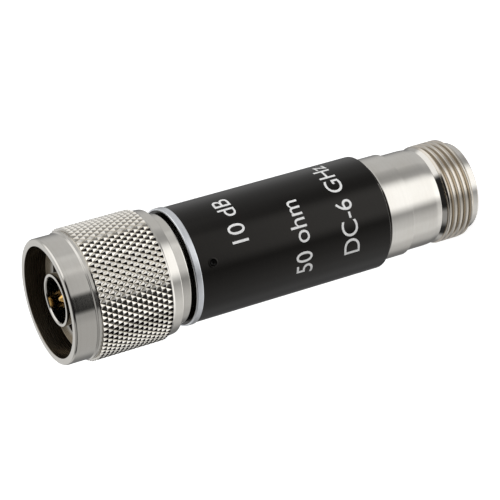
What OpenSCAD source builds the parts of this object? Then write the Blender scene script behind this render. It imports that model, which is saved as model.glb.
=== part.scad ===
// Coaxial in-line attenuator, with a threaded plug at one end and a threaded jack at the other.
// It stands on the jack's end face: the origin is the centre of that face, and +Z runs up the
// axis to the mouth of the plug's knurled coupling nut. All sizes are in millimetres.

/* [Interface shared by plug and jack] */
// Major diameter of the coupling thread
thread_d = 15.87; // [15:0.01:17]
// Depth of the coupling thread, on the radius
thread_depth = 0.575; // [0.4:0.005:0.8]
// Outer diameter of the plug's outer contact tube
contact_tube_d = 8.05; // [7.6:0.01:8.5]
// Wall of the contact tube, which leaves the bore of the outer conductor
tube_wall = 0.525; // [0.3:0.005:0.8]
// Diameter of the inner conductor at the mating plane
conductor_d = 3.04; // [2.6:0.02:3.6]
// Diameter of the plug's pin
pin_d = 1.65; // [1.2:0.01:1.9]

/* [Jack] */
// How far the smooth pilot at the jack's end lies inside the thread's root, on the radius
pilot_drop = 0.31; // [0.05:0.01:0.6]
// Length of the pilot, from the end face to the thread
pilot_len = 1.25; // [0.8:0.05:3]
// Length of the jack's thread
thread_len = 4.75; // [3:0.05:8]
// How far the foot of the cone behind the thread lies inside the thread's root, on the radius
runout_drop = 0.05; // [0.01:0.01:0.4]
// Length of that cone, where the thread runs out
runout_len = 1.25; // [0.8:0.05:3]
// How far the neck behind the cone lies inside the thread's crests, on the radius
neck_drop = 0.185; // [0.05:0.005:0.3]
// Length of the neck's cylinder
neck_len = 4.25; // [2:0.05:8]
// Drop in radius of the neck's taper towards the thread
taper_drop = 0.15; // [0.05:0.05:0.4]
// Length of that taper
taper_len = 1.15; // [0.5:0.05:2.5]
// Rise from the neck to the shoulder next to the sleeve, on the radius
shoulder_rise = 0.4; // [0.1:0.05:0.6]
// Length of the shoulder's cylinder
shoulder_len = 4.75; // [2:0.05:8]
// Length of the slope between neck and shoulder
shoulder_slope = 0.1; // [0.05:0.05:1]
// Width of the open joint between shoulder and sleeve
joint_w = 0.65; // [0.2:0.05:1]
// Depth of that joint
joint_depth = 0.3; // [0.1:0.05:0.5]
// Depth of the jack's bore, from the end face to the mating plane
jack_bore_depth = 9.1; // [8.5:0.05:10]
// Chamfer at the mouth of the jack's bore
bore_chamfer = 0.45; // [0.2:0.05:0.8]
// Depth of the socket contact's tip behind the end face
socket_recess = 4; // [3.6:0.05:4.6]
// Depth of the hole in the socket contact
socket_hole_depth = 5.6; // [4.5:0.1:6]
// Width of the slots between the socket contact's fingers
finger_slot_w = 0.3; // [0.15:0.05:0.5]

/* [Sleeve and end ring] */
// Outer diameter of the sleeve
sleeve_d = 18; // [17.5:0.1:22]
// Length of the sleeve
sleeve_len = 32.55; // [28:0.05:60]
// Wall of the sleeve round its bore, where both bodies screw in
sleeve_wall = 1.6; // [1.2:0.05:2]
// Chamfer on the sleeve's jack end
sleeve_chamfer = 0.1; // [0.05:0.05:0.6]
// Length of the plug body and of the jack body inside the sleeve
spigot_len = 7; // [5:0.1:9]
// Distance of the stake mark from the sleeve's plug end
stake_setback = 2.2; // [1.2:0.1:5]
// Bearing of the stake mark round the axis, in degrees from +X
stake_bearing = 263; // [0:1:359]
// Radius of the punch that made the stake mark
stake_r = 0.6; // [0.4:0.05:0.8]
// Depth of the stake mark
stake_depth = 0.4; // [0.2:0.05:0.5]
// Length of the bare end ring between the sleeve and the nut
ring_len = 1.15; // [0.8:0.05:3]
// Width of the end ring, on the radius
ring_w = 2.1; // [1.6:0.05:2.2]
// How far the end ring stands proud of the sleeve
ring_proud = 0.15; // [0.05:0.05:0.4]
// Radius of the end ring's rounded edge towards the nut
ring_round = 0.4; // [0.1:0.05:0.6]

/* [Coupling nut] */
// Gap between the end ring and the nut
nut_gap = 0.5; // [0.2:0.05:1]
// Length of the nut
nut_len = 19.35; // [17.5:0.05:22]
// Diameter of the smooth collar at the nut's mouth
collar_d = 19.14; // [18.6:0.02:19.6]
// Length of the collar
collar_len = 3.55; // [2:0.05:4]
// Diameter over the knurl
knurl_d = 20.28; // [19.8:0.02:21]
// Height of the knurl's pyramids
knurl_depth = 0.3; // [0.2:0.02:0.4]
// How far the plain lands at both ends of the knurl lie below its points, on the radius
land_drop = 0.33; // [0.1:0.01:0.4]
// Pyramids round the nut
knurl_count = 66; // [40:2:72]
// Rows of pyramids along the nut, counted at half their length
knurl_rows = 14; // [8:2:16]
// Length of the slope from the collar up to the knurl
knurl_slope = 0.6; // [0.4:0.05:1.2]
// Length of the cone behind the knurl
rear_cone_len = 2; // [1:0.05:2.5]
// Diameter of the cone's rear edge
rear_edge_d = 19.3; // [18.6:0.02:19.6]
// Step from that edge down to the hub behind it, on the radius
hub_drop = 1.1; // [0.5:0.05:1.3]
// Length of the hub
hub_len = 1.95; // [1.2:0.05:3]
// Length of the bevel at the nut's mouth
mouth_bevel_len = 0.5; // [0.2:0.05:0.8]
// Fall of that bevel, on the radius
mouth_bevel = 0.2; // [0.05:0.05:0.4]
// Wall of the collar round the counterbore in the nut's mouth
mouth_wall = 1.07; // [0.8:0.01:1.4]
// Depth of the counterbore
mouth_depth = 3.5; // [2:0.05:4.5]
// Length of the cone from the counterbore into the thread
lead_in_len = 0.7; // [0.4:0.05:1]
// Depth of the nut's thread end behind the mouth
nut_thread_end = 11; // [10.6:0.05:11.4]
// Depth of the relief behind the nut's thread, past the thread's crests
relief_depth = 0.165; // [0.05:0.005:0.4]
// Length of the relief
relief_len = 1.6; // [0.8:0.05:2]

/* [Plug] */
// Depth of the contact tube's tip behind the nut's mouth
tube_recess = 1.2; // [0.6:0.05:2]
// Distance from the tube's tip back to the gasket's seat
gasket_depth = 9.65; // [9.3:0.05:10]
// Thickness of the gasket
gasket_t = 0.9; // [0.6:0.05:1.1]
// Margin from the gasket to the edge of its seat
gasket_margin = 0.45; // [0.2:0.05:1]
// Rise of the boss that centres the gasket above the contact tube
boss_rise = 0.275; // [0.1:0.005:0.5]
// Room between the nut's thread and the plug's neck, which the nut passes over and turns on
thread_room = 0.41; // [0.2:0.01:0.6]
// Land in the nut between its relief and the snap ring's groove
snap_land = 1.5; // [0.8:0.05:2.2]
// Thickness of the snap ring along the axis
snap_t = 1; // [0.6:0.05:1.2]
// How far the snap ring reaches into the nut
snap_bite = 0.57; // [0.3:0.01:0.8]
// Width of the snap ring's section, on the radius
snap_w = 1.4; // [1:0.05:1.5]
// Width of the split in the snap ring
snap_split = 1.6; // [0.8:0.1:3]
// Depth of the pin's tip behind the tube's tip
pin_recess = 0.6; // [0.2:0.05:1.2]
// Depth of the pin's shoulder behind the tube's tip
pin_shoulder_depth = 5.26; // [5.2:0.02:5.6]
// Length of the pin's tapered nose
pin_nose = 0.9; // [0.5:0.05:1.4]
// Diameter of the flat at the pin's tip
pin_tip_d = 0.66; // [0.3:0.02:0.9]

/* [Line and attenuator card] */
// Depth of both insulating beads behind the tube's tip and the jack's end face
bead_depth = 10.6; // [10.2:0.05:11.2]
// Thickness of the insulating beads
bead_t = 4; // [2.5:0.1:5]
// Rise from the outer conductor's bore to the beads' seat
bead_step = 0.8; // [0.4:0.05:1]
// Bore of the bushes behind the beads
bush_bore_d = 5.5; // [4.6:0.05:6]
// Diameter of the inner conductors behind the beads
tail_d = 2.4; // [2:0.05:2.8]
// Length of card that each inner conductor's forked tail grips
fork_len = 1.8; // [1.2:0.1:2.5]
// Width of the attenuator card
card_w = 9; // [7.5:0.1:11]
// Thickness of the attenuator card
card_t = 0.64; // [0.4:0.02:1]
// Thickness of the printed films on the card
film_t = 0.05; // [0.02:0.01:0.1]
// Distance from the bushes to the ends of the card
card_end_gap = 0.5; // [0.3:0.05:1]
// Width of the channel along the card
channel_w = 5; // [4.4:0.1:6]
// Depth of the channel on each side of the card
channel_depth = 2.2; // [1.6:0.1:3]
// Length of each signal pad
pad_len = 3; // [2.6:0.1:4]
// Width of each signal pad and of the series resistor
pad_w = 1.6; // [1:0.1:2]
// Length of the shunt arms along the card
shunt_len = 4; // [2:0.1:6]

/* [Clearances] */
// Running clearance between the nut and the plug's neck, on the radius
run_clear = 0.08; // [0.02:0.01:0.1]
// Room round the snap ring inside the nut's groove
snap_clear = 0.2; // [0.1:0.05:0.3]
// Clearance between pieces that are pressed, screwed or laid together
seat_clear = 0.02; // [0.01:0.01:0.05]
// Clearance between the plug's tube and the jack's bore, on the radius
mate_clear = 0.04; // [0.02:0.01:0.1]
// How far the knurled ring is let into the nut, on the radius
knurl_seat = 0.05; // [0.02:0.01:0.1]
// Small broken edge on turned pieces
edge_break = 0.15; // [0.05:0.05:0.2]

/* [Hidden] */
$fn = 96;
over = 1;

// Heights along the axis, from the jack's end face up
z_thread = pilot_len;
z_runout = z_thread + thread_len;
z_taper = z_runout + runout_len;
z_neck = z_taper + taper_len;
z_slope = z_neck + neck_len;
z_shoulder = z_slope + shoulder_slope;
z_sleeve = z_shoulder + shoulder_len;
z_ring = z_sleeve + sleeve_len;
z_ring_top = z_ring + ring_len;
z_nut = z_ring_top + nut_gap;
z_mouth = z_nut + nut_len;
z_tube = z_mouth - tube_recess;
z_seat = z_tube - gasket_depth;
z_relief = z_mouth - nut_thread_end - relief_len;
z_snap = z_relief - snap_land - snap_clear - snap_t / 2;
z_rear_edge = z_nut + hub_len;
z_knurl = z_rear_edge + rear_cone_len;
z_knurl_top = z_mouth - collar_len - knurl_slope;

// Radii that follow from a mating piece and a clearance
thread_r = thread_d / 2;
thread_root_r = thread_r - thread_depth;
pilot_r = thread_root_r - pilot_drop;
runout_r = thread_root_r - runout_drop;
neck_r = thread_r - neck_drop;
shoulder_r = neck_r + shoulder_rise;
tube_r = contact_tube_d / 2;
line_r = tube_r - tube_wall;
boss_r = tube_r + boss_rise;
jack_bore_r = tube_r + mate_clear;
plug_neck_r = thread_root_r - thread_room;
gasket_r = plug_neck_r - gasket_margin;
nut_bore_r = plug_neck_r + run_clear;
relief_r = thread_r + relief_depth;
mouth_r = collar_d / 2 - mouth_wall;
knurl_r = knurl_d / 2;
knurl_root_r = knurl_r - knurl_depth;
knurl_core_r = knurl_root_r - knurl_seat;
land_r = knurl_r - land_drop;
rear_edge_r = rear_edge_d / 2;
hub_r = rear_edge_r - hub_drop;
snap_r = nut_bore_r + snap_bite;
snap_groove_r = nut_bore_r - snap_w - run_clear;
sleeve_r = sleeve_d / 2;
sleeve_bore_r = sleeve_r - sleeve_wall;
spigot_r = sleeve_bore_r - seat_clear;
ring_r = sleeve_r + ring_proud;
ring_bore_r = ring_r - ring_w;
bead_seat_r = line_r + bead_step;
bead_r = bead_seat_r - seat_clear;
tail_r = tail_d / 2;

// The card's length, between the two bushes
z_jack_spigot = z_sleeve + spigot_len;
z_plug_spigot = z_ring - spigot_len;
z_card = z_jack_spigot + card_end_gap;
card_len = z_plug_spigot - z_jack_spigot - 2 * card_end_gap;
card_top_y = card_t / 2 + film_t;
z_jack_bead = bead_depth;
z_plug_bead = z_tube - bead_depth - bead_t;

// Solid turned from half its section, a list of [radius, height]
module turned(section) rotate_extrude() polygon(section);

// Plain ring between two radii and two heights
module ring(r_in, r_out, z_low, z_high)
    turned([[r_in, z_low], [r_out, z_low], [r_out, z_high], [r_in, z_high]]);

// Flat bar across the axis, centred on x, from y_low to y_high and z_low to z_high
module bar(w, y_low, y_high, z_low, z_high)
    translate([-w / 2, y_low, z_low]) cube([w, y_high - y_low, z_high - z_low]);

// Points of a quarter-round upper edge, from the wall at radius r in to the face at height z
function round_edge(r, z, size) =
    [for (a = [0:15:90]) [r - size + size * cos(a), z - size + size * sin(a)]];

// The nut turned without its knurl
module nut_core() turned([
    [mouth_r, z_mouth],
    [mouth_r, z_mouth - mouth_depth],
    [thread_root_r, z_mouth - mouth_depth - lead_in_len],
    [thread_root_r, z_mouth - nut_thread_end],
    [relief_r, z_mouth - nut_thread_end],
    [relief_r, z_relief],
    [nut_bore_r, z_relief],
    [nut_bore_r, z_snap + snap_t / 2 + snap_clear],
    [snap_r + snap_clear, z_snap + snap_t / 2 + snap_clear],
    [snap_r + snap_clear, z_snap - snap_t / 2 - snap_clear],
    [nut_bore_r, z_snap - snap_t / 2 - snap_clear],
    [nut_bore_r, z_nut + edge_break],
    [nut_bore_r + edge_break, z_nut],
    [hub_r - edge_break, z_nut],
    [hub_r, z_nut + edge_break],
    [hub_r, z_rear_edge],
    [rear_edge_r - edge_break, z_rear_edge],
    [rear_edge_r, z_rear_edge + edge_break],
    [land_r, z_knurl],
    [knurl_core_r, z_knurl],
    [knurl_core_r, z_knurl_top],
    [land_r, z_knurl_top],
    [collar_d / 2, z_mouth - collar_len],
    [collar_d / 2, z_mouth - mouth_bevel_len],
    [collar_d / 2 - mouth_bevel, z_mouth]]);

// Diamond knurl: pyramids between two crossing sets of grooves, on a ring let into the nut.
// Its points alternate between root and crest round each row and from one row to the next,
// and each cell is split along its groove.
module knurl_ring(z_low, z_high) {
    count = 2 * knurl_count;
    step = 360 / count;
    row_h = (z_high - z_low) / knurl_rows;
    inner_r = knurl_core_r - knurl_depth;
    function radius(row, i) =
        row > 0 && row < knurl_rows && (row + i) % 2 == 1 ? knurl_r : knurl_root_r;
    function place(r, i, z) = [r * cos(i * step), r * sin(i * step), z];
    function at(row, i) = row * count + i % count;
    inner_low = knurl_rows + 1;
    inner_high = knurl_rows + 2;
    points = [
        for (row = [0:knurl_rows], i = [0:count - 1]) place(radius(row, i), i, z_low + row * row_h),
        for (z = [z_low, z_high], i = [0:count - 1]) place(inner_r, i, z)];
    cells = [for (row = [0:knurl_rows - 1], i = [0:count - 1])
        let (a = at(row, i), b = at(row, i + 1), c = at(row + 1, i + 1), d = at(row + 1, i))
        each (row + i) % 2 == 0 ? [[a, d, c], [a, c, b]] : [[a, d, b], [d, c, b]]];
    inside = [for (i = [0:count - 1])
        [at(inner_low, i), at(inner_low, i + 1), at(inner_high, i + 1), at(inner_high, i)]];
    ends = [for (i = [0:count - 1]) each [
        [at(0, i), at(0, i + 1), at(inner_low, i + 1), at(inner_low, i)],
        [at(knurl_rows, i + 1), at(knurl_rows, i), at(inner_high, i), at(inner_high, i + 1)]]];
    polyhedron(points, concat(cells, inside, ends));
}

module coupling_nut() color("#b3aca2") {
    nut_core();
    knurl_ring(z_knurl, z_knurl_top);
}

module nut_snap_ring() color("#8f8a80") difference() {
    ring(snap_r - snap_w, snap_r, z_snap - snap_t / 2, z_snap + snap_t / 2);
    translate([0, -snap_split / 2, z_snap - snap_t]) cube([2 * snap_r, snap_split, 2 * snap_t]);
}

module plug_body() color("#b3aca2") turned([
    [line_r, z_tube],
    [tube_r - edge_break, z_tube],
    [tube_r, z_tube - edge_break],
    [tube_r, z_seat + gasket_t],
    [boss_r, z_seat + gasket_t],
    [boss_r, z_seat],
    [plug_neck_r - edge_break, z_seat],
    [plug_neck_r, z_seat - edge_break],
    [plug_neck_r, z_snap + snap_t / 2 + seat_clear],
    [snap_groove_r, z_snap + snap_t / 2 + seat_clear],
    [snap_groove_r, z_snap - snap_t / 2 - seat_clear],
    [plug_neck_r, z_snap - snap_t / 2 - seat_clear],
    [plug_neck_r, z_ring_top],
    [ring_bore_r - seat_clear, z_ring_top],
    [ring_bore_r - seat_clear, z_ring],
    [spigot_r, z_ring],
    [spigot_r, z_plug_spigot],
    [bead_seat_r, z_plug_spigot],
    [bead_seat_r, z_tube - bead_depth],
    [line_r, z_tube - bead_depth]]);

module plug_gasket() color("#9a4a34")
    ring(boss_r + seat_clear, gasket_r, z_seat, z_seat + gasket_t);

// Insulating bead that centres an inner conductor
module bead(z_low) color("#ece9e2") ring(tail_r + seat_clear, bead_r, z_low, z_low + bead_t);

module plug_bead() bead(z_plug_bead);
module jack_bead() bead(z_jack_bead);

// Bush that holds a bead against its seat
module bush(z_low, z_high) color("#c2a35c") ring(bush_bore_d / 2, bead_r, z_low, z_high);

module plug_bush() bush(z_plug_spigot, z_plug_bead);
module jack_bush() bush(z_jack_bead + bead_t, z_jack_spigot);

// Slot in a tail that takes the card's end and its films
module fork_slot(z_low, z_high)
    bar(2 * tail_d, -card_t / 2 - seat_clear, card_top_y + seat_clear, z_low, z_high);

module plug_pin() color("#d7a63c") difference() {
    turned([
        [0, z_tube - pin_recess],
        [pin_tip_d / 2, z_tube - pin_recess],
        [pin_d / 2, z_tube - pin_recess - pin_nose],
        [pin_d / 2, z_tube - pin_shoulder_depth],
        [conductor_d / 2 - edge_break, z_tube - pin_shoulder_depth],
        [conductor_d / 2, z_tube - pin_shoulder_depth - edge_break],
        [conductor_d / 2, z_tube - bead_depth],
        [tail_r, z_tube - bead_depth],
        [tail_r, z_card + card_len - fork_len],
        [0, z_card + card_len - fork_len]]);
    fork_slot(z_card + card_len - fork_len - over, z_card + card_len + seat_clear);
}

module jack_socket() color("#d7a63c") difference() {
    turned([
        [pin_d / 2 + seat_clear + edge_break, socket_recess],
        [conductor_d / 2 - edge_break, socket_recess],
        [conductor_d / 2, socket_recess + edge_break],
        [conductor_d / 2, z_jack_bead],
        [tail_r, z_jack_bead],
        [tail_r, z_card + fork_len],
        [0, z_card + fork_len],
        [0, socket_recess + socket_hole_depth],
        [pin_d / 2 + seat_clear, socket_recess + socket_hole_depth],
        [pin_d / 2 + seat_clear, socket_recess + edge_break]]);
    fork_slot(z_card - seat_clear, z_card + fork_len + over);
    for (turn = [0, 90]) rotate(turn + 45)
        bar(2 * conductor_d, -finger_slot_w / 2, finger_slot_w / 2,
            socket_recess - over, socket_recess + socket_hole_depth - over);
}

module end_ring() color("#c9ccd0") turned(concat(
    [[ring_bore_r, z_ring],
     [ring_r - edge_break, z_ring],
     [ring_r, z_ring + edge_break]],
    round_edge(ring_r, z_ring_top, ring_round),
    [[ring_bore_r, z_ring_top]]));

module body_sleeve() color("#26241f") difference() {
    turned([
        [sleeve_bore_r, z_sleeve],
        [sleeve_r - sleeve_chamfer, z_sleeve],
        [sleeve_r, z_sleeve + sleeve_chamfer],
        [sleeve_r, z_ring],
        [sleeve_bore_r, z_ring]]);
    rotate(stake_bearing) translate([sleeve_r + stake_r - stake_depth, 0, z_ring - stake_setback])
        sphere(stake_r);
}

// Half of the split carrier: side is 1 or -1, slot_y is how deep the card lies in this half
module card_carrier(side, slot_y) color("#c9ccd0") {
    z_low = z_jack_spigot + seat_clear;
    z_high = z_plug_spigot - seat_clear;
    turn = side > 0 ? 0 : 180;
    rotate(turn) difference() {
        translate([0, 0, z_low]) cylinder(r = spigot_r, h = z_high - z_low);
        bar(2 * sleeve_d, -sleeve_d, seat_clear / 2, z_low - over, z_high + over);
        bar(card_w + 2 * seat_clear, 0, slot_y, z_low - over, z_high + over);
        bar(channel_w, 0, slot_y + channel_depth, z_low - over, z_high + over);
    }
}

module right_card_carrier() card_carrier(1, card_top_y + seat_clear);
module left_card_carrier() card_carrier(-1, card_t / 2 + seat_clear);

module attenuator_card() color("#e9e7df")
    bar(card_w, -card_t / 2, card_t / 2, z_card, z_card + card_len);

// Film printed on the card's face, from an outline in the card's own width and length
module film() translate([0, card_top_y, z_card]) rotate([90, 0, 0]) linear_extrude(film_t) children();

ground_w = (card_w - channel_w) / 2;

module resistor_film() color("#3a3531") film() {
    translate([-pad_w / 2, pad_len]) square([pad_w, card_len - 2 * pad_len]);
    translate([-channel_w / 2, (card_len - shunt_len) / 2]) square([channel_w, shunt_len]);
}

module signal_pads() color("#d8c78a") film() for (y = [0, card_len - pad_len])
    translate([-pad_w / 2, y]) square([pad_w, pad_len]);

module ground_strips() color("#d8c78a") film() for (x = [-card_w / 2, channel_w / 2])
    translate([x, 0]) square([ground_w, card_len]);

module jack_body() color("#b3aca2") turned([
    [jack_bore_r + bore_chamfer, 0],
    [pilot_r - edge_break, 0],
    [pilot_r, edge_break],
    [pilot_r, z_thread],
    [thread_root_r, z_thread],
    [thread_r, z_thread + thread_depth],
    [thread_r, z_runout],
    [runout_r, z_taper],
    [neck_r - taper_drop, z_taper],
    [neck_r, z_neck],
    [neck_r, z_slope],
    [shoulder_r, z_shoulder],
    [shoulder_r, z_sleeve - joint_w - edge_break],
    [shoulder_r - edge_break, z_sleeve - joint_w],
    [shoulder_r - joint_depth, z_sleeve - joint_w],
    [shoulder_r - joint_depth, z_sleeve],
    [spigot_r, z_sleeve],
    [spigot_r, z_jack_spigot],
    [bead_seat_r, z_jack_spigot],
    [bead_seat_r, z_jack_bead],
    [line_r, z_jack_bead],
    [line_r, jack_bore_depth],
    [jack_bore_r, jack_bore_depth],
    [jack_bore_r, bore_chamfer]]);

coupling_nut();
nut_snap_ring();
plug_body();
plug_gasket();
plug_bead();
plug_bush();
plug_pin();
end_ring();
body_sleeve();
left_card_carrier();
right_card_carrier();
attenuator_card();
resistor_film();
signal_pads();
ground_strips();
jack_body();
jack_bead();
jack_bush();
jack_socket();
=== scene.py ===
import math
import bmesh
import bpy
from mathutils import Matrix, Vector


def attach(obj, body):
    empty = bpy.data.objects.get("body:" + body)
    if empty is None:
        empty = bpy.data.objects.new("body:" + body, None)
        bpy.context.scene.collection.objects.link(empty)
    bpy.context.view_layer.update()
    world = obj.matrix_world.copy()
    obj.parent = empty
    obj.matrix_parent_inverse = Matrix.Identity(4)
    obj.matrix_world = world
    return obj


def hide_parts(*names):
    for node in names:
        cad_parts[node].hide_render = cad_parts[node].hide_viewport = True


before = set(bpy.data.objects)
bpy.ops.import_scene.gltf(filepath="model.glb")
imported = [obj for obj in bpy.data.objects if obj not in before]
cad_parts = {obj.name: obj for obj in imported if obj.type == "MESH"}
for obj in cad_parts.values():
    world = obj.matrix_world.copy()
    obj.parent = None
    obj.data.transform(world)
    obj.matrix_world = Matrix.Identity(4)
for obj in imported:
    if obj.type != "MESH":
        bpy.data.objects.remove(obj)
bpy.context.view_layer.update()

mm = 0.001
fullTurn = 2 * math.pi
scene = bpy.context.scene
scene.view_settings.view_transform = "Standard"
print("frame loaded:", len(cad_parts), "solids")


# camera

photoView = {
    "place": (0.0, -0.29206, 0.16994),
    "right": (-0.27697, -0.39734, -0.87487),
    "up": (0.96086, -0.11210, -0.25328),
    "lens": 151.27,
    "sensor": 36.0,
    "clip": (0.01, 20),
}

def setCamera(view):
    right = Vector(view["right"]).normalized()
    up = Vector(view["up"])
    up = (up - right * up.dot(right)).normalized()
    back = right.cross(up)
    data = bpy.data.cameras.new("photoCamera")
    data.lens = view["lens"]
    data.sensor_width = view["sensor"]
    data.clip_start, data.clip_end = view["clip"]
    camera = bpy.data.objects.new("photoCamera", data)
    scene.collection.objects.link(camera)
    turn = Matrix((right, up, back)).transposed().to_4x4()
    camera.matrix_world = Matrix.Translation(view["place"]) @ turn
    scene.camera = camera

setCamera(photoView)
print("camera set")


# finishes

# detail of the noise, and the part of its range that counts
noise = {
    "patch": {"detail": 3, "limits": (0.32, 0.68)},
    "grain": {"detail": 3, "limits": (0.25, 0.75)},
    "streak": {"detail": 2, "limits": (0.45, 0.75)},
}

def smoothSpan(tree, source, limits, first, last):
    span = tree.nodes.new("ShaderNodeMapRange")
    span.interpolation_type = "SMOOTHSTEP"
    names = ("From Min", "From Max", "To Min", "To Max")
    for name, value in zip(names, (*limits, first, last)):
        span.inputs[name].default_value = value
    tree.links.new(source, span.inputs["Value"])
    return span.outputs["Result"]

def makeFinish(name, look):
    finish = bpy.data.materials.new(name)
    finish.use_nodes = True
    tree = finish.node_tree
    new, wire = tree.nodes.new, tree.links.new
    shader = tree.nodes["Principled BSDF"]
    shader.inputs["Metallic"].default_value = look.get("metal", 0.0)
    for socket, value in look.get("sockets", {}).items():
        shader.inputs[socket].default_value = value
    place = new("ShaderNodeTexCoord").outputs["Object"]

    # distance from the axis, and a flat map of radius and height for marks left by turning
    across = new("ShaderNodeVectorMath")
    across.operation = "MULTIPLY"
    across.inputs[1].default_value = (1, 1, 0)
    wire(place, across.inputs[0])
    radius = new("ShaderNodeVectorMath")
    radius.operation = "LENGTH"
    wire(across.outputs["Vector"], radius.inputs[0])
    height = new("ShaderNodeSeparateXYZ")
    wire(place, height.inputs[0])
    section = new("ShaderNodeCombineXYZ")
    wire(radius.outputs["Value"], section.inputs["X"])
    wire(height.outputs["Z"], section.inputs["Y"])
    way = section.outputs["Vector"] if look.get("turned") else place

    def cloud(kind, source):
        cloudy = new("ShaderNodeTexNoise")
        cloudy.inputs["Scale"].default_value = 1 / (look[kind] * mm)
        cloudy.inputs["Detail"].default_value = noise[kind]["detail"]
        wire(source, cloudy.inputs["Vector"])
        return cloudy.outputs["Fac"]

    def spread(kind, source, first, last):
        return smoothSpan(tree, source, noise[kind]["limits"], first, last)

    def blendTone(share, first, second):
        mix = new("ShaderNodeMix")
        mix.data_type = "RGBA"
        wire(share, mix.inputs["Factor"])
        for socket, source in ((mix.inputs[6], first), (mix.inputs[7], second)):    # the colour sockets
            if isinstance(source, tuple):
                socket.default_value = (*source, 1)
            else:
                wire(source, socket)
        return mix.outputs[2]

    # slow change of tone over the surface, then turning lines, then painted shade darkening the low places
    patches = spread("patch", cloud("patch", place), 0, 1)
    tone = blendTone(patches, look["tone"], look["otherTone"])
    grain = cloud("grain", way)
    rough = spread("grain", grain, *look["rough"])
    if "streak" in look:
        lines = spread("streak", cloud("streak", section.outputs["Vector"]), 0, look["streakShare"])
        tone = blendTone(lines, tone, look["streakTone"])
    # painted shade: faces nearer the root of a knurl or thread are darkened by radius, for the shade in its
    # grooves
    if "valley" in look:
        limits = look["valley"] * mm, look["crest"] * mm
        low = smoothSpan(tree, radius.outputs["Value"], limits, 1, 0)
        tone = blendTone(low, tone, look["valleyShadeTone"])
    wire(tone, shader.inputs["Base Color"])
    wire(rough, shader.inputs["Roughness"])
    bump = new("ShaderNodeBump")
    bump.inputs["Strength"].default_value = look["bump"]
    bump.inputs["Distance"].default_value = look["bumpDepth"] * mm
    wire(grain, bump.inputs["Height"])
    wire(bump.outputs["Normal"], shader.inputs["Normal"])
    return finish

nickelLook = {
    "metal": 1.0, "tone": (0.665, 0.645, 0.605), "otherTone": (0.635, 0.612, 0.568), "patch": 5.0,
    "turned": True, "grain": 0.07, "rough": (0.06, 0.10), "bump": 0.2, "bumpDepth": 0.0006,
    "streak": 0.35, "streakTone": (0.57, 0.545, 0.495), "streakShare": 0.2,
}
nickel = makeFinish("nickelPlate", nickelLook)
# the knurl and thread finishes below paint shade into their low places
nickelKnurl = makeFinish("nickelKnurl", {
    **nickelLook, "rough": (0.07, 0.11), "valley": 9.92, "crest": 10.02, "valleyShadeTone": (0.56, 0.52, 0.45)})
nickelThread = makeFinish("nickelThread", {
    **nickelLook, "tone": (0.66, 0.615, 0.55), "otherTone": (0.62, 0.575, 0.51), "rough": (0.12, 0.18),
    "valley": 7.50, "crest": 7.92, "valleyShadeTone": (0.50, 0.44, 0.355)})
nickelNutThread = makeFinish("nickelNutThread", {
    **nickelLook, "rough": (0.14, 0.24), "valley": 7.95, "crest": 7.45, "valleyShadeTone": (0.42, 0.37, 0.29)})
nickelTube = makeFinish("nickelTube", {**nickelLook, "rough": (0.07, 0.12), "streakShare": 0.1})
# painted shade: a dark brown copy of the nickel for the surfaces deep inside the nut, plug and jack
nickelPaintedShade = makeFinish("nickelPaintedShade", {
    **nickelLook, "tone": (0.24, 0.205, 0.155), "otherTone": (0.18, 0.152, 0.115), "rough": (0.22, 0.34),
    "streakTone": (0.11, 0.09, 0.065)})
blackAnodise = makeFinish("blackAnodise", {
    "tone": (0.0018, 0.0016, 0.0014), "otherTone": (0.0012, 0.0010, 0.0009), "patch": 6.0,
    "turned": True, "grain": 0.09, "rough": (0.11, 0.16), "bump": 0.2, "bumpDepth": 0.001,
    "sockets": {"IOR": 1.34, "Specular Tint": (1.0, 0.95, 0.89, 1.0)},
    "streak": 0.5, "streakTone": (0.0035, 0.0028, 0.0022), "streakShare": 0.5})
# painted shade: a near-black finish laid in the hollow of the stake mark
stakePaintedShade = makeFinish("stakePaintedShade", {
    "tone": (0.0015, 0.0013, 0.0011), "otherTone": (0.0025, 0.0021, 0.0018), "patch": 0.3,
    "grain": 0.05, "rough": (0.16, 0.26), "bump": 0.4, "bumpDepth": 0.002, "sockets": {"IOR": 1.22}})
bareAluminium = makeFinish("bareAluminium", {
    "metal": 1.0, "tone": (0.82, 0.84, 0.87), "otherTone": (0.75, 0.77, 0.80), "patch": 2.0,
    "grain": 0.06, "rough": (0.26, 0.38), "bump": 0.4, "bumpDepth": 0.003,
    "streak": 0.2, "streakTone": (0.48, 0.50, 0.53), "streakShare": 0.4})
goldPlate = makeFinish("goldPlate", {
    "metal": 1.0, "tone": (0.86, 0.56, 0.20), "otherTone": (0.78, 0.48, 0.15), "patch": 2.0,
    "turned": True, "grain": 0.05, "rough": (0.10, 0.16), "bump": 0.25, "bumpDepth": 0.001,
    "streak": 0.2, "streakTone": (0.66, 0.38, 0.11), "streakShare": 0.3})
bareBrass = makeFinish("bareBrass", {
    "metal": 1.0, "tone": (0.66, 0.50, 0.22), "otherTone": (0.56, 0.41, 0.17), "patch": 3.0,
    "turned": True, "grain": 0.08, "rough": (0.26, 0.38), "bump": 0.4, "bumpDepth": 0.002,
    "streak": 0.3, "streakTone": (0.44, 0.31, 0.12), "streakShare": 0.4})
springBronze = makeFinish("springBronze", {
    "metal": 1.0, "tone": (0.58, 0.40, 0.22), "otherTone": (0.48, 0.32, 0.17), "patch": 2.0,
    "grain": 0.1, "rough": (0.28, 0.42), "bump": 0.4, "bumpDepth": 0.002,
    "streak": 0.25, "streakTone": (0.36, 0.24, 0.13), "streakShare": 0.4})
gasketRubber = makeFinish("gasketRubber", {
    "tone": (0.30, 0.075, 0.04), "otherTone": (0.24, 0.055, 0.03), "patch": 1.5,
    "grain": 0.08, "rough": (0.48, 0.66), "bump": 0.5, "bumpDepth": 0.006,
    "streak": 0.4, "streakTone": (0.34, 0.10, 0.06), "streakShare": 0.3})
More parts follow.
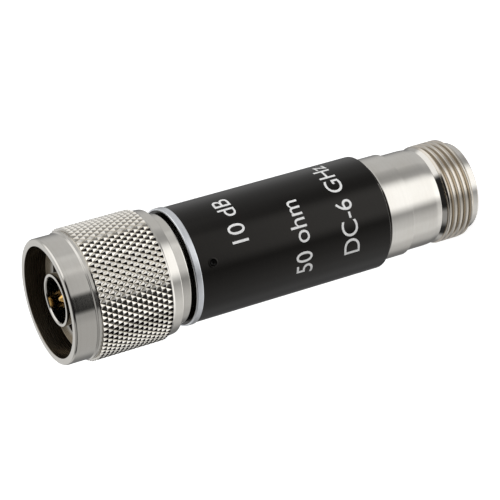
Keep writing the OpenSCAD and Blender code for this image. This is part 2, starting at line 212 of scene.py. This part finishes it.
whiteInsulator = makeFinish("whiteInsulator", {
    "tone": (0.80, 0.79, 0.75), "otherTone": (0.74, 0.725, 0.685), "patch": 2.5,
    "turned": True, "grain": 0.1, "rough": (0.36, 0.50), "bump": 0.4, "bumpDepth": 0.003,
    "streak": 0.3, "streakTone": (0.69, 0.67, 0.62), "streakShare": 0.4})
whiteCeramic = makeFinish("whiteCeramic", {
    "tone": (0.78, 0.775, 0.74), "otherTone": (0.72, 0.71, 0.68), "patch": 1.5,
    "grain": 0.04, "rough": (0.40, 0.55), "bump": 0.3, "bumpDepth": 0.002})
darkFilm = makeFinish("darkFilm", {
    "tone": (0.035, 0.03, 0.027), "otherTone": (0.05, 0.043, 0.038), "patch": 0.8,
    "grain": 0.03, "rough": (0.36, 0.55), "bump": 0.5, "bumpDepth": 0.003})
silverPaste = makeFinish("silverPaste", {
    "metal": 1.0, "tone": (0.72, 0.66, 0.48), "otherTone": (0.64, 0.58, 0.41), "patch": 0.8,
    "grain": 0.03, "rough": (0.38, 0.55), "bump": 0.5, "bumpDepth": 0.003})
whiteInk = makeFinish("whiteInk", {
    "tone": (0.86, 0.86, 0.85), "otherTone": (0.79, 0.79, 0.785), "patch": 0.7,
    "grain": 0.05, "rough": (0.45, 0.62), "bump": 0.4, "bumpDepth": 0.003})
print("finishes made")


# turning: pieces are made from half their section, in millimetres from the jack's end face

# a rounding takes no more than this share of an edge, and a guard row keeps the shading of the flat beside it
rounding = {"most": 0.42, "guard": 0.15, "steps": 4}

def roundOff(path, size, closed=True, steps=rounding["steps"]):
    soft = []
    for i, here in enumerate(path):
        ends = not closed and i in (0, len(path) - 1)
        own = here[2] if len(here) > 2 else size
        here = Vector(here[:2])
        if ends or own == 0:
            soft.append(tuple(here))
            continue
        before = Vector(path[i - 1][:2]) - here
        after = Vector(path[(i + 1) % len(path)][:2]) - here
        reach = min(own, rounding["most"] * before.length, rounding["most"] * after.length)
        start, stop = here + before.normalized() * reach, here + after.normalized() * reach
        guard = rounding["guard"] * reach
        soft.append(tuple(start + before.normalized() * guard))
        for k in range(steps + 1):
            t = k / steps
            soft.append(tuple(start * (1 - t) ** 2 + here * 2 * t * (1 - t) + stop * t ** 2))
        soft.append(tuple(stop + after.normalized() * guard))
    return soft

def turnRows(rows, sides, closed=True):
    points, faces, rings = [], [], []
    for row in rows:
        ring = []
        for j in range(sides):
            angle = fullTurn * j / sides
            r, z = row(angle) if callable(row) else row
            if r < 1e-6 and ring:
                ring.append(ring[0])
                continue
            ring.append(len(points))
            points.append((r * math.cos(angle), r * math.sin(angle), z))
        rings.append(ring)
    pairs = list(zip(rings, rings[1:])) + ([(rings[-1], rings[0])] if closed else [])
    for low, high in pairs:
        for j in range(sides):
            k = (j + 1) % sides
            face = []
            for index in (low[j], low[k], high[k], high[j]):
                if index not in face:
                    face.append(index)
            if len(face) > 2:
                faces.append(tuple(face))
    return points, faces

def joinShells(*shells):
    points, faces = [], []
    for shellPoints, shellFaces in shells:
        shift = len(points)
        points += shellPoints
        faces += [tuple(index + shift for index in face) for face in shellFaces]
    return points, faces

weld = {"gap": 2e-7, "thin": 1e-7}    # metres

# choose names the finish of each face, from the face's middle radius and height in millimetres
def makePiece(name, shell, finishes, choose=None, crease=32):
    mesh = bpy.data.meshes.new(name)
    mesh.from_pydata([Vector(p) * mm for p in shell[0]], [], shell[1])
    build = bmesh.new()
    build.from_mesh(mesh)
    bmesh.ops.remove_doubles(build, verts=build.verts, dist=weld["gap"])
    bmesh.ops.dissolve_degenerate(build, edges=build.edges, dist=weld["thin"])
    bmesh.ops.recalc_face_normals(build, faces=build.faces)
    for face in build.faces:
        face.smooth = True
        if choose:
            middle = face.calc_center_median() / mm
            face.material_index = choose(math.hypot(middle.x, middle.y), middle.z)
    build.to_mesh(mesh)
    build.free()
    for finish in finishes:
        mesh.materials.append(finish)
    mesh.set_sharp_from_angle(angle=math.radians(crease))
    piece = bpy.data.objects.new(name, mesh)
    scene.collection.objects.link(piece)
    return piece


# screw threads: away from a crest the radius falls along a straight flank to the root

def threadRadius(thread, z, angle):
    phase = ((z - thread["crestHeight"]) / thread["pitch"] - angle / fullTurn) % 1
    away = min(phase, 1 - phase)
    share = min(max((thread["rootEdge"] - away) / (thread["rootEdge"] - thread["crestEdge"]), 0), 1)
    share = share * share * (3 - 2 * share)    # rounds the crest and the root
    r = thread["root"] + share * (thread["crest"] - thread["root"])
    for limit in thread.get("limits", []):
        r = min(r, limit["radius"] + limit["slope"] * (z - limit["height"]))
    return r

def threadEdge(thread, z):
    return lambda angle: (threadRadius(thread, z, angle), z)

def cutThread(thread, sides):
    low, high, pitch, perTurn = thread["low"], thread["high"], thread["pitch"], thread["rows"]
    first = math.floor((low - thread["crestHeight"]) / pitch) - 1
    count = (math.ceil((high - low) / pitch) + 2) * perTurn
    points, faces = [], []
    for k in range(count + 1):
        for j in range(sides + 1):
            z = thread["crestHeight"] + pitch * (first + k / perTurn + j / sides)
            z = min(max(z, low), high)
            angle = fullTurn * (j % sides) / sides
            r = threadRadius(thread, z, angle)
            points.append((r * math.cos(angle), r * math.sin(angle), z))
    for k in range(count):
        for j in range(sides):
            face = [k * (sides + 1) + j, k * (sides + 1) + j + 1]
            face += [index + sides + 1 for index in reversed(face)]
            heights = {points[index][2] for index in face}
            if heights != {low} and heights != {high}:
                faces.append(tuple(face))
    return points, faces


# coupling nut

nut = {
    "low": 51.70, "mouth": 71.05, "sides": 240,
    "hubR": 8.55, "rearEdge": 53.65, "rearR": 9.65, "landR": 9.79,
    "lipLow": 55.15, "lipHigh": 55.40, "lipR": 9.90,
    "knurlLow": 55.65, "knurlHigh": 66.90, "coreR": 9.70,
    "frontLandR": 9.75, "slopeLow": 67.38, "collar": 9.57, "collarLow": 67.60,
    "bevelLow": 70.78, "bevelR": 9.44, "leadInR": 7.46, "leadInLow": 66.91,
    "mouthR": 8.50, "mouthFloor": 67.55, "boreR": 7.03, "reliefR": 8.10, "reliefLow": 58.45,
    "snapR": 7.80, "snapLow": 55.55, "snapHigh": 56.95, "edge": 0.12,
    "shadeInsideR": 8.52, "shadeInsideLow": 52.0, "threadTop": 67.50, "knurlFinishR": 9.91,
}
nutThread = {
    "low": 60.05, "high": 66.85, "pitch": 1.0583, "rows": 16, "crestHeight": 63.4,
    "crest": 7.36, "root": 7.97, "crestEdge": 1 / 8, "rootEdge": 7 / 16,
}
knurl = {
    "count": 66, "rows": 14, "crestR": 10.14, "rootR": 9.92, "innerR": 9.45, "flat": 0.14,
    "turn": 0.75, "shift": -0.10,
}

def cutKnurl(cut, low, high):
    steps = 2 * cut["count"]
    rise = (high - low) / cut["rows"]
    points, faces, used = [], [], {}

    def spot(r, i, z):
        angle = fullTurn * i / steps + math.radians(cut["turn"])
        points.append((r * math.cos(angle), r * math.sin(angle), z))
        return len(points) - 1

    def rootSpot(row, i):
        key = (row, i % steps)
        if key not in used:
            used[key] = spot(cut["rootR"], i, low + row * rise)
        return used[key]

    inner = {row: [spot(cut["innerR"], i, low + row * rise) for i in range(steps)]
             for row in (0, cut["rows"])}
    for row in range(cut["rows"] + 1):
        for i in range(steps):
            if (row + i) % 2 == 0:
                continue
            corners = [(row, i - 1), (row - 1, i), (row, i + 1), (row + 1, i)]
            # the outermost diamonds are cut in half by the ends of the knurl
            corners = [corner for corner in corners if 0 <= corner[0] <= cut["rows"]]
            if row == 0:
                corners = corners[1:] + corners[:1]
            base = [rootSpot(*corner) for corner in corners]
            top = [spot(cut["crestR"], i + (corner[1] - i) * cut["flat"],
                        low + (row + (corner[0] - row) * cut["flat"]) * rise) for corner in corners]
            faces.append(tuple(top))
            if row in inner:
                around = [inner[row][k % steps] for k in (i + 1, i, i - 1)]
                if corners[0][1] > corners[-1][1]:
                    around.reverse()
                faces.append((base[0], top[0], top[-1], base[-1], *around))
            for a in range(len(base) - (1 if row in inner else 0)):
                b = (a + 1) % len(base)
                faces.append((base[a], base[b], top[b], top[a]))
    for i in range(steps):
        k = (i + 1) % steps
        faces.append((inner[0][i], inner[0][k], inner[cut["rows"]][k], inner[cut["rows"]][i]))
    return points, faces

def makeNut():
    outside = roundOff([
        (nutThread["root"], nutThread["low"], 0),
        (nut["reliefR"], nutThread["low"]), (nut["reliefR"], nut["reliefLow"]),
        (nut["boreR"], nut["reliefLow"]), (nut["boreR"], nut["snapHigh"]),
        (nut["snapR"], nut["snapHigh"]), (nut["snapR"], nut["snapLow"]),
        (nut["boreR"], nut["snapLow"]), (nut["boreR"], nut["low"]),
        (nut["hubR"], nut["low"], 0.25), (nut["hubR"], nut["rearEdge"], 0.05),
        (nut["rearR"], nut["rearEdge"], 0.14), (nut["landR"], nut["lipLow"], 0.05),
        (nut["lipR"], nut["lipHigh"], 0.06), (nut["lipR"], nut["knurlLow"], 0.05),
        (nut["coreR"], nut["knurlLow"], 0), (nut["coreR"], nut["knurlHigh"], 0),
        (nut["frontLandR"], nut["knurlHigh"], 0.04), (nut["frontLandR"], nut["slopeLow"], 0.04),
        (nut["collar"], nut["collarLow"], 0.04),
        (nut["collar"], nut["bevelLow"], 0.1), (nut["bevelR"], nut["mouth"], 0.08),
        (nut["mouthR"], nut["mouth"]), (nut["mouthR"], nut["mouthFloor"], 0.1),
        (nut["leadInR"], nut["leadInLow"], 0)], nut["edge"], closed=False)
    first, last = threadEdge(nutThread, nutThread["low"]), threadEdge(nutThread, nutThread["high"])
    rows = [first] + outside[1:-1] + [last]
    shell = joinShells(
        turnRows(rows, nut["sides"], closed=False),
        cutThread(nutThread, nut["sides"]),
        cutKnurl(knurl, nut["knurlLow"] + knurl["shift"], nut["knurlHigh"] + knurl["shift"]))

    def choose(r, z):
        # faces inside the nut get painted shade: the dark nickel copy, and the thread finish with shaded
        # valleys
        if r < nut["shadeInsideR"] and z > nut["shadeInsideLow"]:
            return 3 if nutThread["low"] < z < nut["threadTop"] else 2
        return 1 if r > nut["knurlFinishR"] and nut["knurlLow"] < z < nut["knurlHigh"] else 0

    finishes = [nickel, nickelKnurl, nickelPaintedShade, nickelNutThread]
    piece = makePiece("couplingNut", shell, finishes, choose, crease=24)
    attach(piece, "nut")
    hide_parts("coupling_nut")

makeNut()
print("coupling nut made")


# plug body, its pin and its gasket

# sections list radius, height and, where it isn't the usual edge, the size of the rounding there
plug = {
    "sides": 192, "edge": 0.12,
    "section": [
        (3.50, 69.66, 0.05), (3.61, 69.85, 0.03), (4.025, 69.85, 0.08),
        (4.025, 61.10), (4.30, 61.10), (4.30, 60.20), (6.95, 60.20), (6.95, 56.77),
        (5.55, 56.77), (5.55, 55.73), (6.95, 55.73), (6.95, 51.20),
        (7.03, 51.20, 0), (7.03, 50.05, 0), (7.38, 50.05), (7.38, 43.05),
        (4.30, 43.05), (4.30, 59.25), (3.50, 59.25),
    ],
    "tubeR": 3.52, "tubeLow": 59.3, "shadeR": 4.05, "shadeLow": 56.0,
}

def makePlugBody():
    path = roundOff(plug["section"], plug["edge"])

    def choose(r, z):
        if r < plug["tubeR"] and z > plug["tubeLow"]:
            return 2
        # the flange faces deep inside the nut get painted shade from the dark nickel copy
        return 1 if r > plug["shadeR"] and z > plug["shadeLow"] else 0

    piece = makePiece("plugBody", turnRows(path, plug["sides"]), [nickel, nickelPaintedShade, nickelTube], choose)
    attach(piece, "body")
    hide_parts("plug_body")

pin = {
    "sides": 96, "tip": 69.25, "tipR": 0.2, "nose": 0.9, "r": 0.825, "shoulder": 64.59, "conductorR": 1.52,
    "beadTop": 59.25, "tailR": 1.20, "forkTop": 42.57, "tailEnd": 40.75,
    "slotLow": -0.34, "slotHigh": 0.39, "prongSteps": 24, "edge": 0.1,
}

def makePin():
    path = roundOff([
        (0, pin["tip"], 0), (pin["tipR"], pin["tip"], 0.12), (pin["r"], pin["tip"] - pin["nose"], 0.3),
        (pin["r"], pin["shoulder"], 0.1), (pin["conductorR"], pin["shoulder"], 0.2),
        (pin["conductorR"], pin["beadTop"], 0.1), (pin["tailR"], pin["beadTop"], 0.1),
        (pin["tailR"], pin["forkTop"], 0), (0, pin["forkTop"], 0)], pin["edge"], closed=False)
    shells = [turnRows(path, pin["sides"], closed=False)]
    # two prongs that grip the card
    for level, out in ((pin["slotHigh"], 1), (-pin["slotLow"], -1)):
        reach = math.acos(level / pin["tailR"])
        steps = pin["prongSteps"]
        arc = [math.pi / 2 + reach * (2 * k / steps - 1) for k in range(steps + 1)]
        ring = [(pin["tailR"] * math.cos(a), out * pin["tailR"] * math.sin(a)) for a in arc]
        points = [(x, y, z) for z in (pin["tailEnd"], pin["forkTop"]) for x, y in ring]
        n = len(ring)
        faces = [tuple(range(n)), tuple(range(n, 2 * n))]
        faces += [(k, (k + 1) % n, (k + 1) % n + n, k + n) for k in range(n)]
        shells.append((points, faces))
    piece = makePiece("plugPin", joinShells(*shells), [goldPlate])
    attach(piece, "body")
    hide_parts("plug_pin")

gasket = {"inner": 4.32, "outer": 6.50, "low": 60.20, "high": 61.10, "round": 0.38, "steps": 6, "sides": 144}

def makeGasket():
    path = roundOff([
        (gasket["inner"], gasket["low"]), (gasket["outer"], gasket["low"]),
        (gasket["outer"], gasket["high"]), (gasket["inner"], gasket["high"])],
        gasket["round"], steps=gasket["steps"])
    piece = makePiece("plugGasket", turnRows(path, gasket["sides"]), [gasketRubber])
    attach(piece, "body")
    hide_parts("plug_gasket")

makePlugBody()
makePin()
makeGasket()
print("plug made")


# end ring and sleeve

endRing = {
    "inner": 7.05, "outer": 9.15, "low": 50.05, "high": 51.20, "edge": 0.14, "round": 0.42, "steps": 6,
    "sides": 240, "flatR": 8.62, "shadeFaceR": 8.82, "shadeFaceLow": 51.17,
}

def makeEndRing():
    path = roundOff([
        (endRing["inner"], endRing["low"], 0), (endRing["outer"], endRing["low"]),
        (endRing["outer"], endRing["high"], endRing["round"]), (endRing["flatR"], endRing["high"], 0),
        (endRing["inner"], endRing["high"], 0)], endRing["edge"], steps=endRing["steps"])
    # painted shade: its face towards the nut, in the gap under the nut, takes the sleeve's black finish; the
    # rim is bare aluminium
    piece = makePiece("endRing", turnRows(path, endRing["sides"]), [bareAluminium, blackAnodise],
                      lambda r, z: 1 if z > endRing["shadeFaceLow"] and r < endRing["shadeFaceR"] else 0)
    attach(piece, "body")
    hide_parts("end_ring")

sleeve = {
    "low": 17.50, "high": 50.05, "r": 9.0, "bore": 7.40, "chamfer": 0.10, "sides": 360,
    "markBearing": 263, "markHeight": 47.85, "markR": 0.60, "markDepth": 0.40,
    "markLip": 0.03, "lipR": 0.64, "lipWidth": 0.07, "markFloor": 0.5, "markRim": 0.04,
    "patch": 1.0, "patchSteps": 48, "slack": 1e-3,
}

def makeSleeve():
    r, low, high, slack = sleeve["r"], sleeve["low"], sleeve["high"], sleeve["slack"]
    patchLow, patchHigh = sleeve["markHeight"] - sleeve["patch"], sleeve["markHeight"] + sleeve["patch"]
    path = roundOff([
        (sleeve["bore"], low, 0), (r - sleeve["chamfer"], low, 0.02), (r, low + sleeve["chamfer"], 0.02),
        (r, patchLow, 0), (r, patchHigh, 0), (r, high, 0.08), (sleeve["bore"], high, 0)], 0)
    points, faces = turnRows(path, sleeve["sides"])
    # the stake mark gets a fine patch of its own in place of the coarse faces there
    half = round(math.degrees(sleeve["patch"] / r))
    firstSide, lastSide = sleeve["markBearing"] - half, sleeve["markBearing"] + half

    def inPatch(face):
        spots = [points[index] for index in face]
        zs = [p[2] for p in spots]
        if abs(min(zs) - patchLow) > slack or abs(max(zs) - patchHigh) > slack:
            return False
        if math.hypot(*spots[0][:2]) < r - slack:
            return False
        bearing = math.degrees(math.atan2(sum(p[1] for p in spots), sum(p[0] for p in spots))) % 360
        return firstSide < bearing < lastSide

    faces = [face for face in faces if not inPatch(face)]
    fine, patchPoints, patchFaces = sleeve["patchSteps"], [], []
    for a in range(fine + 1):
        for b in range(fine + 1):
            angle = math.radians(firstSide + (lastSide - firstSide) * a / fine)
            z = patchLow + (patchHigh - patchLow) * b / fine
            away = math.hypot(r * (angle - math.radians(sleeve["markBearing"])), z - sleeve["markHeight"])
            drop = math.sqrt(max(sleeve["markR"] ** 2 - away ** 2, 0)) - sleeve["markR"] + sleeve["markDepth"]
            lip = sleeve["markLip"] * math.exp(-((away - sleeve["lipR"]) / sleeve["lipWidth"]) ** 2)
            here = r - max(drop, 0) + (lip if drop <= 0 else 0)
            patchPoints.append((here * math.cos(angle), here * math.sin(angle), z))
    for a in range(fine):
        for b in range(fine):
            k = a * (fine + 1) + b
            patchFaces.append((k, k + fine + 1, k + fine + 2, k + 1))

    # coarse faces beside the patch take in the points along its rim, so that the shell is closed
    ends = (0, fine)
    rim = [Vector(patchPoints[a * (fine + 1) + b])
           for a in range(fine + 1) for b in range(fine + 1) if a in ends or b in ends]

    def onRim(p):
        bearing = math.degrees(math.atan2(p[1], p[0])) % 360
        return (patchLow - slack < p[2] < patchHigh + slack and math.hypot(p[0], p[1]) > r - slack
                and firstSide - slack < bearing < lastSide + slack)

    def between(start, stop):
        start, along = Vector(start), Vector(stop) - Vector(start)
        found = []
        for spot in rim:
            t = (spot - start).dot(along) / along.length_squared
            if slack < t < 1 - slack and (spot - start - along * t).length < slack:
                found.append((t, tuple(spot)))
        return [spot for t, spot in sorted(found)]

    closedFaces = []
    for face in faces:
        whole = []
        for start, stop in zip(face, face[1:] + face[:1]):
            whole.append(start)
            if onRim(points[start]) and onRim(points[stop]):
                for spot in between(points[start], points[stop]):
                    whole.append(len(points))
                    points.append(spot)
        closedFaces.append(tuple(whole))
    shell = joinShells((points, closedFaces), (patchPoints, patchFaces))
    # the floor of the stake mark gets the near-black painted shade
    piece = makePiece("bodySleeve", shell, [blackAnodise, stakePaintedShade],
                      lambda middle, z: int(patchLow < z < patchHigh
                                            and sleeve["markRim"] < r - middle < sleeve["markFloor"]))
    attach(piece, "body")
    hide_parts("body_sleeve")

makeEndRing()
makeSleeve()
print("sleeve made")


# jack

jack = {
    "sides": 240, "edge": 0.1,
    "section": [
        (7.735, 6.40, 0), (7.31, 7.25, 0.05), (7.64, 7.25, 0.1), (7.75, 8.40, 0.4),
        (7.75, 12.65, 0.02), (8.15, 12.75, 0.02), (8.15, 16.85, 0.18), (7.85, 16.85, 0.05),
        (7.85, 17.50, 0), (7.38, 17.50), (7.38, 24.50), (4.30, 24.50),
        (4.30, 10.60), (3.50, 10.60), (3.50, 9.10),
        (4.065, 9.10), (4.065, 0.45), (4.515, 0.0), (7.05, 0.0, 0.2), (7.05, 1.25),
    ],
    "boreR": 4.52, "boreLow": 0.1, "threadR": 7.1,
}
jackThread = {
    "low": 1.25, "high": 6.40, "pitch": 1.0583, "rows": 20, "crestHeight": 4.16,
    "crest": 7.935, "root": 7.45, "crestEdge": 0.14, "rootEdge": 0.46,
    "limits": [
        {"radius": 7.36, "slope": 1.0, "height": 1.25},
        {"radius": 7.935, "slope": -0.5, "height": 6.00},
    ],
}

def makeJack():
    start, stop = (jackThread["root"], jackThread["high"], 0), (jackThread["root"], jackThread["low"], 0)
    path = roundOff([start] + jack["section"] + [stop], jack["edge"], closed=False)
    first, last = threadEdge(jackThread, jackThread["high"]), threadEdge(jackThread, jackThread["low"])
    rows = [first] + path[1:-1] + [last]
    shell = joinShells(turnRows(rows, jack["sides"], closed=False), cutThread(jackThread, jack["sides"]))

    def choose(r, z):
        # the bore of the jack gets painted shade from the dark nickel copy
        if r < jack["boreR"] and z > jack["boreLow"]:
            return 2
        return 1 if jackThread["low"] < z < jackThread["high"] and r > jack["threadR"] else 0

    piece = makePiece("jackBody", shell, [nickel, nickelThread, nickelPaintedShade], choose)
    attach(piece, "body")
    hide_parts("jack_body")

makeJack()
print("jack made")


# the printed legend: ratings only

legend = {
    "r": 9.0, "thick": 0.012, "step": 0.25, "capShare": 0.73, "smooth": 6,
    "lines": [
        {"words": "10 dB", "height": 2.9, "low": 41.3, "bearing": -1},
        {"words": "50 ohm", "height": 2.9, "low": 31.5, "bearing": -46},
        {"words": "DC-6 GHz", "height": 2.9, "low": 23.2, "bearing": -40},
    ],
}

def printLine(name, line):
    words = bpy.data.curves.new(name, "FONT")
    words.body = line["words"]
    words.size = line["height"] * mm / legend["capShare"]    # capitals are this share of the type size
    words.resolution_u = legend["smooth"]
    flat = bpy.data.objects.new(name + "Flat", words)
    scene.collection.objects.link(flat)
    bpy.context.view_layer.update()
    mesh = bpy.data.meshes.new_from_object(flat.evaluated_get(bpy.context.evaluated_depsgraph_get()))
    bpy.data.objects.remove(flat)
    build = bmesh.new()
    build.from_mesh(mesh)
    right = max(v.co.x for v in build.verts)
    # cut into narrow strips, so that the letters can bend round the sleeve
    for k in range(1, int(right / (legend["step"] * mm)) + 1):
        everything = build.verts[:] + build.edges[:] + build.faces[:]
        cutAt = (k * legend["step"] * mm, 0, 0)
        bmesh.ops.bisect_plane(build, geom=everything, plane_co=cutAt, plane_no=(1, 0, 0))
    outer, inner = (legend["r"] + legend["thick"]) * mm, (legend["r"] - legend["thick"]) * mm
    lower = bmesh.ops.extrude_face_region(build, geom=build.faces[:])["geom"]
    lower = {v for v in lower if isinstance(v, bmesh.types.BMVert)}
    for v in build.verts:
        angle = math.radians(line["bearing"]) + v.co.x / (legend["r"] * mm)
        r = outer if v in lower else inner
        v.co = (r * math.sin(angle), -r * math.cos(angle), line["low"] * mm + v.co.y)
    bmesh.ops.recalc_face_normals(build, faces=build.faces)
    build.to_mesh(mesh)
    build.free()
    mesh.name = name
    mesh.materials.clear()
    mesh.materials.append(whiteInk)
    piece = bpy.data.objects.new(name, mesh)
    scene.collection.objects.link(piece)
    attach(piece, "body")

for number, line in enumerate(legend["lines"], 1):
    printLine("legendLine%d" % number, line)
print("legend printed")


# solids that keep their own shape

keptFinishes = {
    "nut_snap_ring": springBronze, "plug_bead": whiteInsulator, "jack_bead": whiteInsulator,
    "plug_bush": bareBrass, "jack_bush": bareBrass, "jack_socket": goldPlate,
    "left_card_carrier": bareAluminium, "right_card_carrier": bareAluminium,
    "attenuator_card": whiteCeramic, "resistor_film": darkFilm,
    "signal_pads": silverPaste, "ground_strips": silverPaste,
}
for name, finish in keptFinishes.items():
    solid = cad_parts[name]
    solid.data.materials.clear()
    solid.data.materials.append(finish)
print("kept solids finished")


# floor and studio light

# bearings run from the camera's side towards +X, heights are angles above the horizon, all in degrees;
# panels add their glow to the base, and shades cut a share of it away
studio = {
    "base": 0.50,
    "panels": [
        {"bearing": 10, "full": 14, "reach": 42, "from": (-75, -50), "to": (-28, -16), "glow": 1.0},
        {"bearing": 104, "full": 16, "reach": 44, "from": (-90, -89), "to": (-22, -8), "glow": 0.16},
        {"bearing": -82, "full": 20, "reach": 54, "from": (-90, -89), "to": (-28, -18), "glow": 0.34},
        {"bearing": 72, "full": 32, "reach": 52, "from": (-8, 2), "to": (40, 65), "glow": 0.75},
        {"bearing": 180, "full": 20, "reach": 70, "from": (-10, 5), "to": (30, 60), "glow": 0.25},
        {"bearing": 0, "full": 179, "reach": 180, "from": (-90, -89), "to": (-48, -34), "glow": 0.30},
        {"bearing": -78, "full": 50, "reach": 85, "from": (-90, -89), "to": (-48, -34), "glow": 0.38},
        {"bearing": 56, "full": 10, "reach": 24, "from": (-25, -23), "to": (-14, -8), "glow": 0.22},
    ],
    "shades": [
        {"bearing": -8, "full": 32, "reach": 48, "from": (0, 6), "to": (38, 58), "cut": 0.95},
        {"bearing": -65, "full": 42, "reach": 56, "from": (-14, -5), "to": (8, 14), "cut": 0.94},
        {"bearing": -95, "full": 40, "reach": 75, "from": (6, 12), "to": (40, 60), "cut": 0.25},
        {"bearing": -18, "full": 10, "reach": 21, "from": (-22.6, -20.2), "to": (6, 12), "cut": 0.95},
        {"bearing": 66, "full": 4, "reach": 18, "from": (-90, -89), "to": (-27, -24), "cut": 0.15},
        {"bearing": -8, "full": 30, "reach": 50, "from": (-26, -23.5), "to": (-16, -8), "cut": 0.18},
        {"bearing": -40, "full": 14, "reach": 30, "from": (-90, -89), "to": (-23, -20.5), "cut": 0.14},
        {"bearing": 100, "full": 46, "reach": 70, "from": (-90, -89), "to": (-46, -36), "cut": 0.45},
        {"bearing": -124, "full": 14, "reach": 34, "from": (-90, -89), "to": (-23, -20.5), "cut": 0.22},
        {"bearing": -172, "full": 12, "reach": 48, "from": (-60, -50), "to": (-10, 0), "cut": 0.6},
        {"bearing": 0, "full": 179, "reach": 180, "from": (50, 70), "to": (89, 90), "cut": 0.45},
    ],
    "floorTone": (0.9, 0.9, 0.9), "floorGlow": 0.7, "floorHalf": 3.0, "floorDrop": 0.00002,
    "lampPlace": (0.16, -0.56, 0.30), "lampAim": (0, 0, 0.035), "lampSize": 0.5, "lampPower": 1.6,
}

def makeWorld():
    world = bpy.data.worlds.new("studio")
    scene.world = world
    world.use_nodes = True
    tree = world.node_tree
    new, wire = tree.nodes.new, tree.links.new
    direction = new("ShaderNodeTexCoord").outputs["Generated"]
    level = new("ShaderNodeVectorMath")
    level.operation = "MULTIPLY"
    level.inputs[1].default_value = (1, 1, 0)
    wire(direction, level.inputs[0])
    bearing = new("ShaderNodeVectorMath")
    bearing.operation = "NORMALIZE"
    wire(level.outputs["Vector"], bearing.inputs[0])
    height = new("ShaderNodeSeparateXYZ")
    wire(direction, height.inputs[0])

    def combine(operation, first, second):
        sumNode = new("ShaderNodeMath")
        sumNode.operation = operation
        for socket, value in zip(sumNode.inputs, (first, second)):
            if isinstance(value, (int, float)):
                socket.default_value = value
            else:
                wire(value, socket)
        return sumNode.outputs["Value"]

    def share(panel):
        a = math.radians(panel["bearing"])
        facing = new("ShaderNodeVectorMath")
        facing.operation = "DOT_PRODUCT"
        facing.inputs[1].default_value = (math.sin(a), -math.cos(a), 0)
        wire(bearing.outputs["Vector"], facing.inputs[0])
        cosines = [math.cos(math.radians(panel[key])) for key in ("reach", "full")]
        sines = [math.sin(math.radians(d)) for d in panel["from"] + panel["to"]]
        sideways = smoothSpan(tree, facing.outputs["Value"], cosines, 0, 1)
        above = smoothSpan(tree, height.outputs["Z"], sines[:2], 0, 1)
        below = smoothSpan(tree, height.outputs["Z"], sines[2:], 1, 0)
        return combine("MULTIPLY", sideways, combine("MULTIPLY", above, below))

    total = studio["base"]
    for panel in studio["panels"]:
        total = combine("ADD", total, combine("MULTIPLY", share(panel), panel["glow"]))
    for shade in studio["shades"]:
        kept = combine("SUBTRACT", 1.0, combine("MULTIPLY", share(shade), shade["cut"]))
        total = combine("MULTIPLY", total, kept)
    light = tree.nodes["Background"]
    wire(total, light.inputs["Strength"])
    light.inputs["Color"].default_value = (1, 1, 1, 1)
    white = new("ShaderNodeBackground")
    white.inputs["Color"].default_value = (1, 1, 1, 1)
    mix = new("ShaderNodeMixShader")
    wire(new("ShaderNodeLightPath").outputs["Is Camera Ray"], mix.inputs[0])
    wire(light.outputs[0], mix.inputs[1])
    wire(white.outputs[0], mix.inputs[2])
    wire(mix.outputs[0], tree.nodes["World Output"].inputs["Surface"])

def makeFloor():
    mesh = bpy.data.meshes.new("floor")
    half = studio["floorHalf"]
    corners = [(-half, -half, 0), (half, -half, 0), (half, half, 0), (-half, half, 0)]
    mesh.from_pydata(corners, [], [(0, 1, 2, 3)])
    paper = bpy.data.materials.new("whitePaper")
    paper.use_nodes = True
    tree = paper.node_tree
    new, wire = tree.nodes.new, tree.links.new
    sheet = new("ShaderNodeBsdfDiffuse")
    sheet.inputs["Color"].default_value = (*studio["floorTone"], 1)
    seen = new("ShaderNodeMath")
    seen.operation = "MULTIPLY"
    seen.inputs[1].default_value = studio["floorGlow"]
    wire(new("ShaderNodeLightPath").outputs["Is Camera Ray"], seen.inputs[0])
    shine = new("ShaderNodeEmission")
    wire(seen.outputs["Value"], shine.inputs["Strength"])
    both = new("ShaderNodeAddShader")
    wire(sheet.outputs[0], both.inputs[0])
    wire(shine.outputs[0], both.inputs[1])
    wire(both.outputs[0], tree.nodes["Material Output"].inputs["Surface"])
    mesh.materials.append(paper)
    floor = bpy.data.objects.new("floor", mesh)
    floor.location.z = -studio["floorDrop"]
    floor.visible_glossy = False    # the metal mirrors the studio's panels, not the paper
    scene.collection.objects.link(floor)

def makeLamp():
    data = bpy.data.lights.new("softbox", "AREA")
    data.size = studio["lampSize"]
    data.energy = studio["lampPower"]
    lamp = bpy.data.objects.new("softbox", data)
    lamp.location = studio["lampPlace"]
    aim = Vector(studio["lampAim"]) - Vector(studio["lampPlace"])
    lamp.rotation_euler = aim.to_track_quat("-Z", "Y").to_euler()
    lamp.visible_glossy = False    # it lights the ink and rubber, and the metal has its own panels
    scene.collection.objects.link(lamp)

makeWorld()
makeFloor()
makeLamp()
print("studio set")

bpy.context.view_layer.update()
